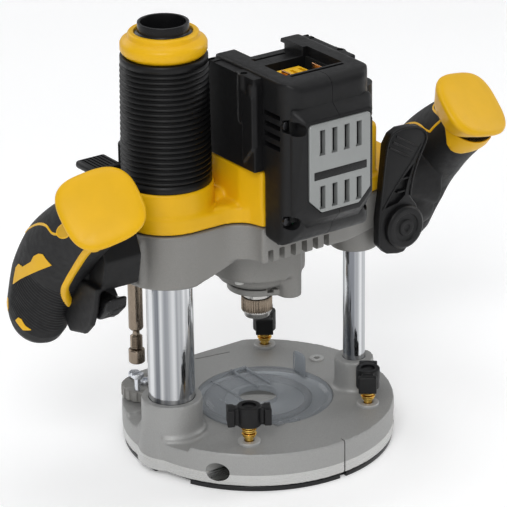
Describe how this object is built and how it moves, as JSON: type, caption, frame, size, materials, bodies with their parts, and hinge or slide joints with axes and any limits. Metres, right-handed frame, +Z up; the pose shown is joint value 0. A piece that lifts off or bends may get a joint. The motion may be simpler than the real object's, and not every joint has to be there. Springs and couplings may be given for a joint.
{
  "type": "plunge router",
  "caption": "Handheld plunge router: a motor head with two side grips slides down two columns on a round base, with a hollow dust column and a bellows.",
  "frame": {"origin": "centre of the footprint's bounding box, on the underside of the sole plate", "axes": "+X along the two handles to the right seen from the vent grille, -Y towards the vent grille, +Z up along the spindle and the columns"},
  "size_m": [0.3218, 0.1614, 0.2855],
  "materials": {
    "cast_aluminium": "fine cast grey, satin paint",
    "phenolic": "smooth black laminate",
    "steel": "machined steel",
    "smoke_polycarbonate": "clear smoke tinted moulding",
    "black_plastic": "fine textured black moulding",
    "brass": "turned brass",
    "chrome": "polished hard chrome",
    "yellow_plastic": "fine textured yellow moulding",
    "bellows_rubber": "soft black elastomer",
    "bronze": "sintered bronze",
    "lens": "clear lens",
    "silver_plastic": "silver painted moulding",
    "circuit_board": "solder mask",
    "copper": "plated copper alloy",
    "nickel": "dark nickel plate",
    "grip_rubber": "overmoulded grip"
  },
  "bodies": {
    "base": {"base_casting": "cast_aluminium", "sole_plate": "phenolic", "sole_screw_1": "steel", "sole_screw_2": "steel", "sole_screw_3": "steel", "throat_insert": "smoke_polycarbonate", "dust_column": "chrome", "guide_column": "chrome", "plunge_spring": "steel", "outlet_collar": "yellow_plastic", "outlet_spout": "black_plastic", "bellows": "bellows_rubber", "turret_screw": "steel"},
    "head": {"motor_casting": "cast_aluminium", "dust_column_bush": "bronze", "guide_column_bush": "bronze", "left_work_light": "lens", "right_work_light": "lens", "top_cover": "yellow_plastic", "spring_tower": "black_plastic", "left_housing": "black_plastic", "right_housing": "black_plastic", "vent_grille": "silver_plastic", "left_side_cover": "black_plastic", "right_side_cover": "black_plastic", "control_board": "circuit_board", "terminal_block": "yellow_plastic", "contact_blade_1": "copper", "contact_blade_2": "copper", "stator": "steel", "lower_bearing": "steel", "upper_bearing": "steel", "left_handle": "grip_rubber", "right_handle": "grip_rubber", "left_thumb_pad": "yellow_plastic", "right_thumb_pad": "yellow_plastic"},
    "spindle": {"spindle": "steel", "rotor": "steel", "cooling_fan": "black_plastic", "collet_nut": "nickel", "collet": "steel"},
    "spindle_lock": {"spindle_lock_button": "black_plastic"},
    "speed_dial": {"speed_dial": "black_plastic"},
    "trigger": {"power_trigger": "black_plastic"},
    "plunge_lock": {"plunge_lock_lever": "black_plastic", "plunge_lock_shaft": "steel"},
    "depth_rod": {"depth_rod": "nickel"},
    "fine_adjuster": {"fine_adjust_knob": "black_plastic"},
    "rod_clamp": {"rod_clamp_lever": "black_plastic"},
    "turret": {"stop_turret": "cast_aluminium", "stop_screw_1": "steel", "stop_screw_2": "steel", "stop_screw_3": "steel"},
    "front_clamp": {"front_clamp_knob": "black_plastic", "front_clamp_stud": "brass"},
    "right_clamp": {"right_clamp_knob": "black_plastic", "right_clamp_stud": "brass"},
    "back_clamp": {"back_clamp_knob": "black_plastic", "back_clamp_stud": "brass"}
  },
  "joints": [
    {"name": "plunge", "type": "slide", "parent": "base", "child": "head", "axis": [0, 0, -1], "range_m": [0, 0.07], "stiffness_N_per_m": 400, "springref_m": -0.15, "deforming": ["bellows", "plunge_spring"]},
    {"name": "spindle_spin", "type": "hinge", "parent": "head", "child": "spindle", "pos_m": [0, 0.00615, 0.08], "axis": [0, 0, 1], "continuous": true},
    {"name": "spindle_lock_press", "type": "slide", "parent": "head", "child": "spindle_lock", "axis": [0, -1, 0], "range_m": [0, 0.003], "stiffness_N_per_m": 900, "springref_m": -0.001},
    {"name": "speed_dial_turn", "type": "hinge", "parent": "head", "child": "speed_dial", "pos_m": [0, 0.03415, 0.183], "axis": [1, 0, 0], "range_deg": [0, 270]},
    {"name": "trigger_pull", "type": "hinge", "parent": "head", "child": "trigger", "pos_m": [-0.1235, 0.00415, 0.13], "axis": [-1, 0, 0], "range_deg": [0, 7], "stiffness_Nm_per_rad": 0.8, "springref_deg": -5.73},
    {"name": "plunge_lock_press", "type": "hinge", "parent": "head", "child": "plunge_lock", "pos_m": [0.0748, -0.03685, 0.137], "axis": [0, 1, 0], "range_deg": [0, 12], "stiffness_Nm_per_rad": 0.8, "springref_deg": -5.73},
    {"name": "depth_rod_slide", "type": "slide", "parent": "head", "child": "depth_rod", "axis": [0, 0, 1], "range_m": [0, 0.07]},
    {"name": "fine_adjuster_turn", "type": "hinge", "parent": "depth_rod", "child": "fine_adjuster", "pos_m": [-0.0665, 0.04115, 0.176], "axis": [0, 0, 1], "continuous": true},
    {"name": "rod_clamp_turn", "type": "hinge", "parent": "head", "child": "rod_clamp", "pos_m": [-0.076, 0.04115, 0.151], "axis": [-1, 0, 0], "range_deg": [0, 35]},
    {"name": "turret_turn", "type": "hinge", "parent": "base", "child": "turret", "pos_m": [-0.057, 0.04715, 0.025], "axis": [0, 0, 1], "continuous": true},
    {"name": "front_clamp_turn", "type": "hinge", "parent": "base", "child": "front_clamp", "pos_m": [-0.0432, -0.04585, 0.025], "axis": [0, 0, 1], "continuous": true},
    {"name": "right_clamp_turn", "type": "hinge", "parent": "base", "child": "right_clamp", "pos_m": [0.0468, -0.04585, 0.025], "axis": [0, 0, 1], "continuous": true},
    {"name": "back_clamp_turn", "type": "hinge", "parent": "base", "child": "back_clamp", "pos_m": [0.0465, 0.06415, 0.025], "axis": [0, 0, 1], "continuous": true}
  ],
  "couplings": [
    {"joint": "depth_rod_slide", "follows": "plunge", "ratio": 1}
  ]
}
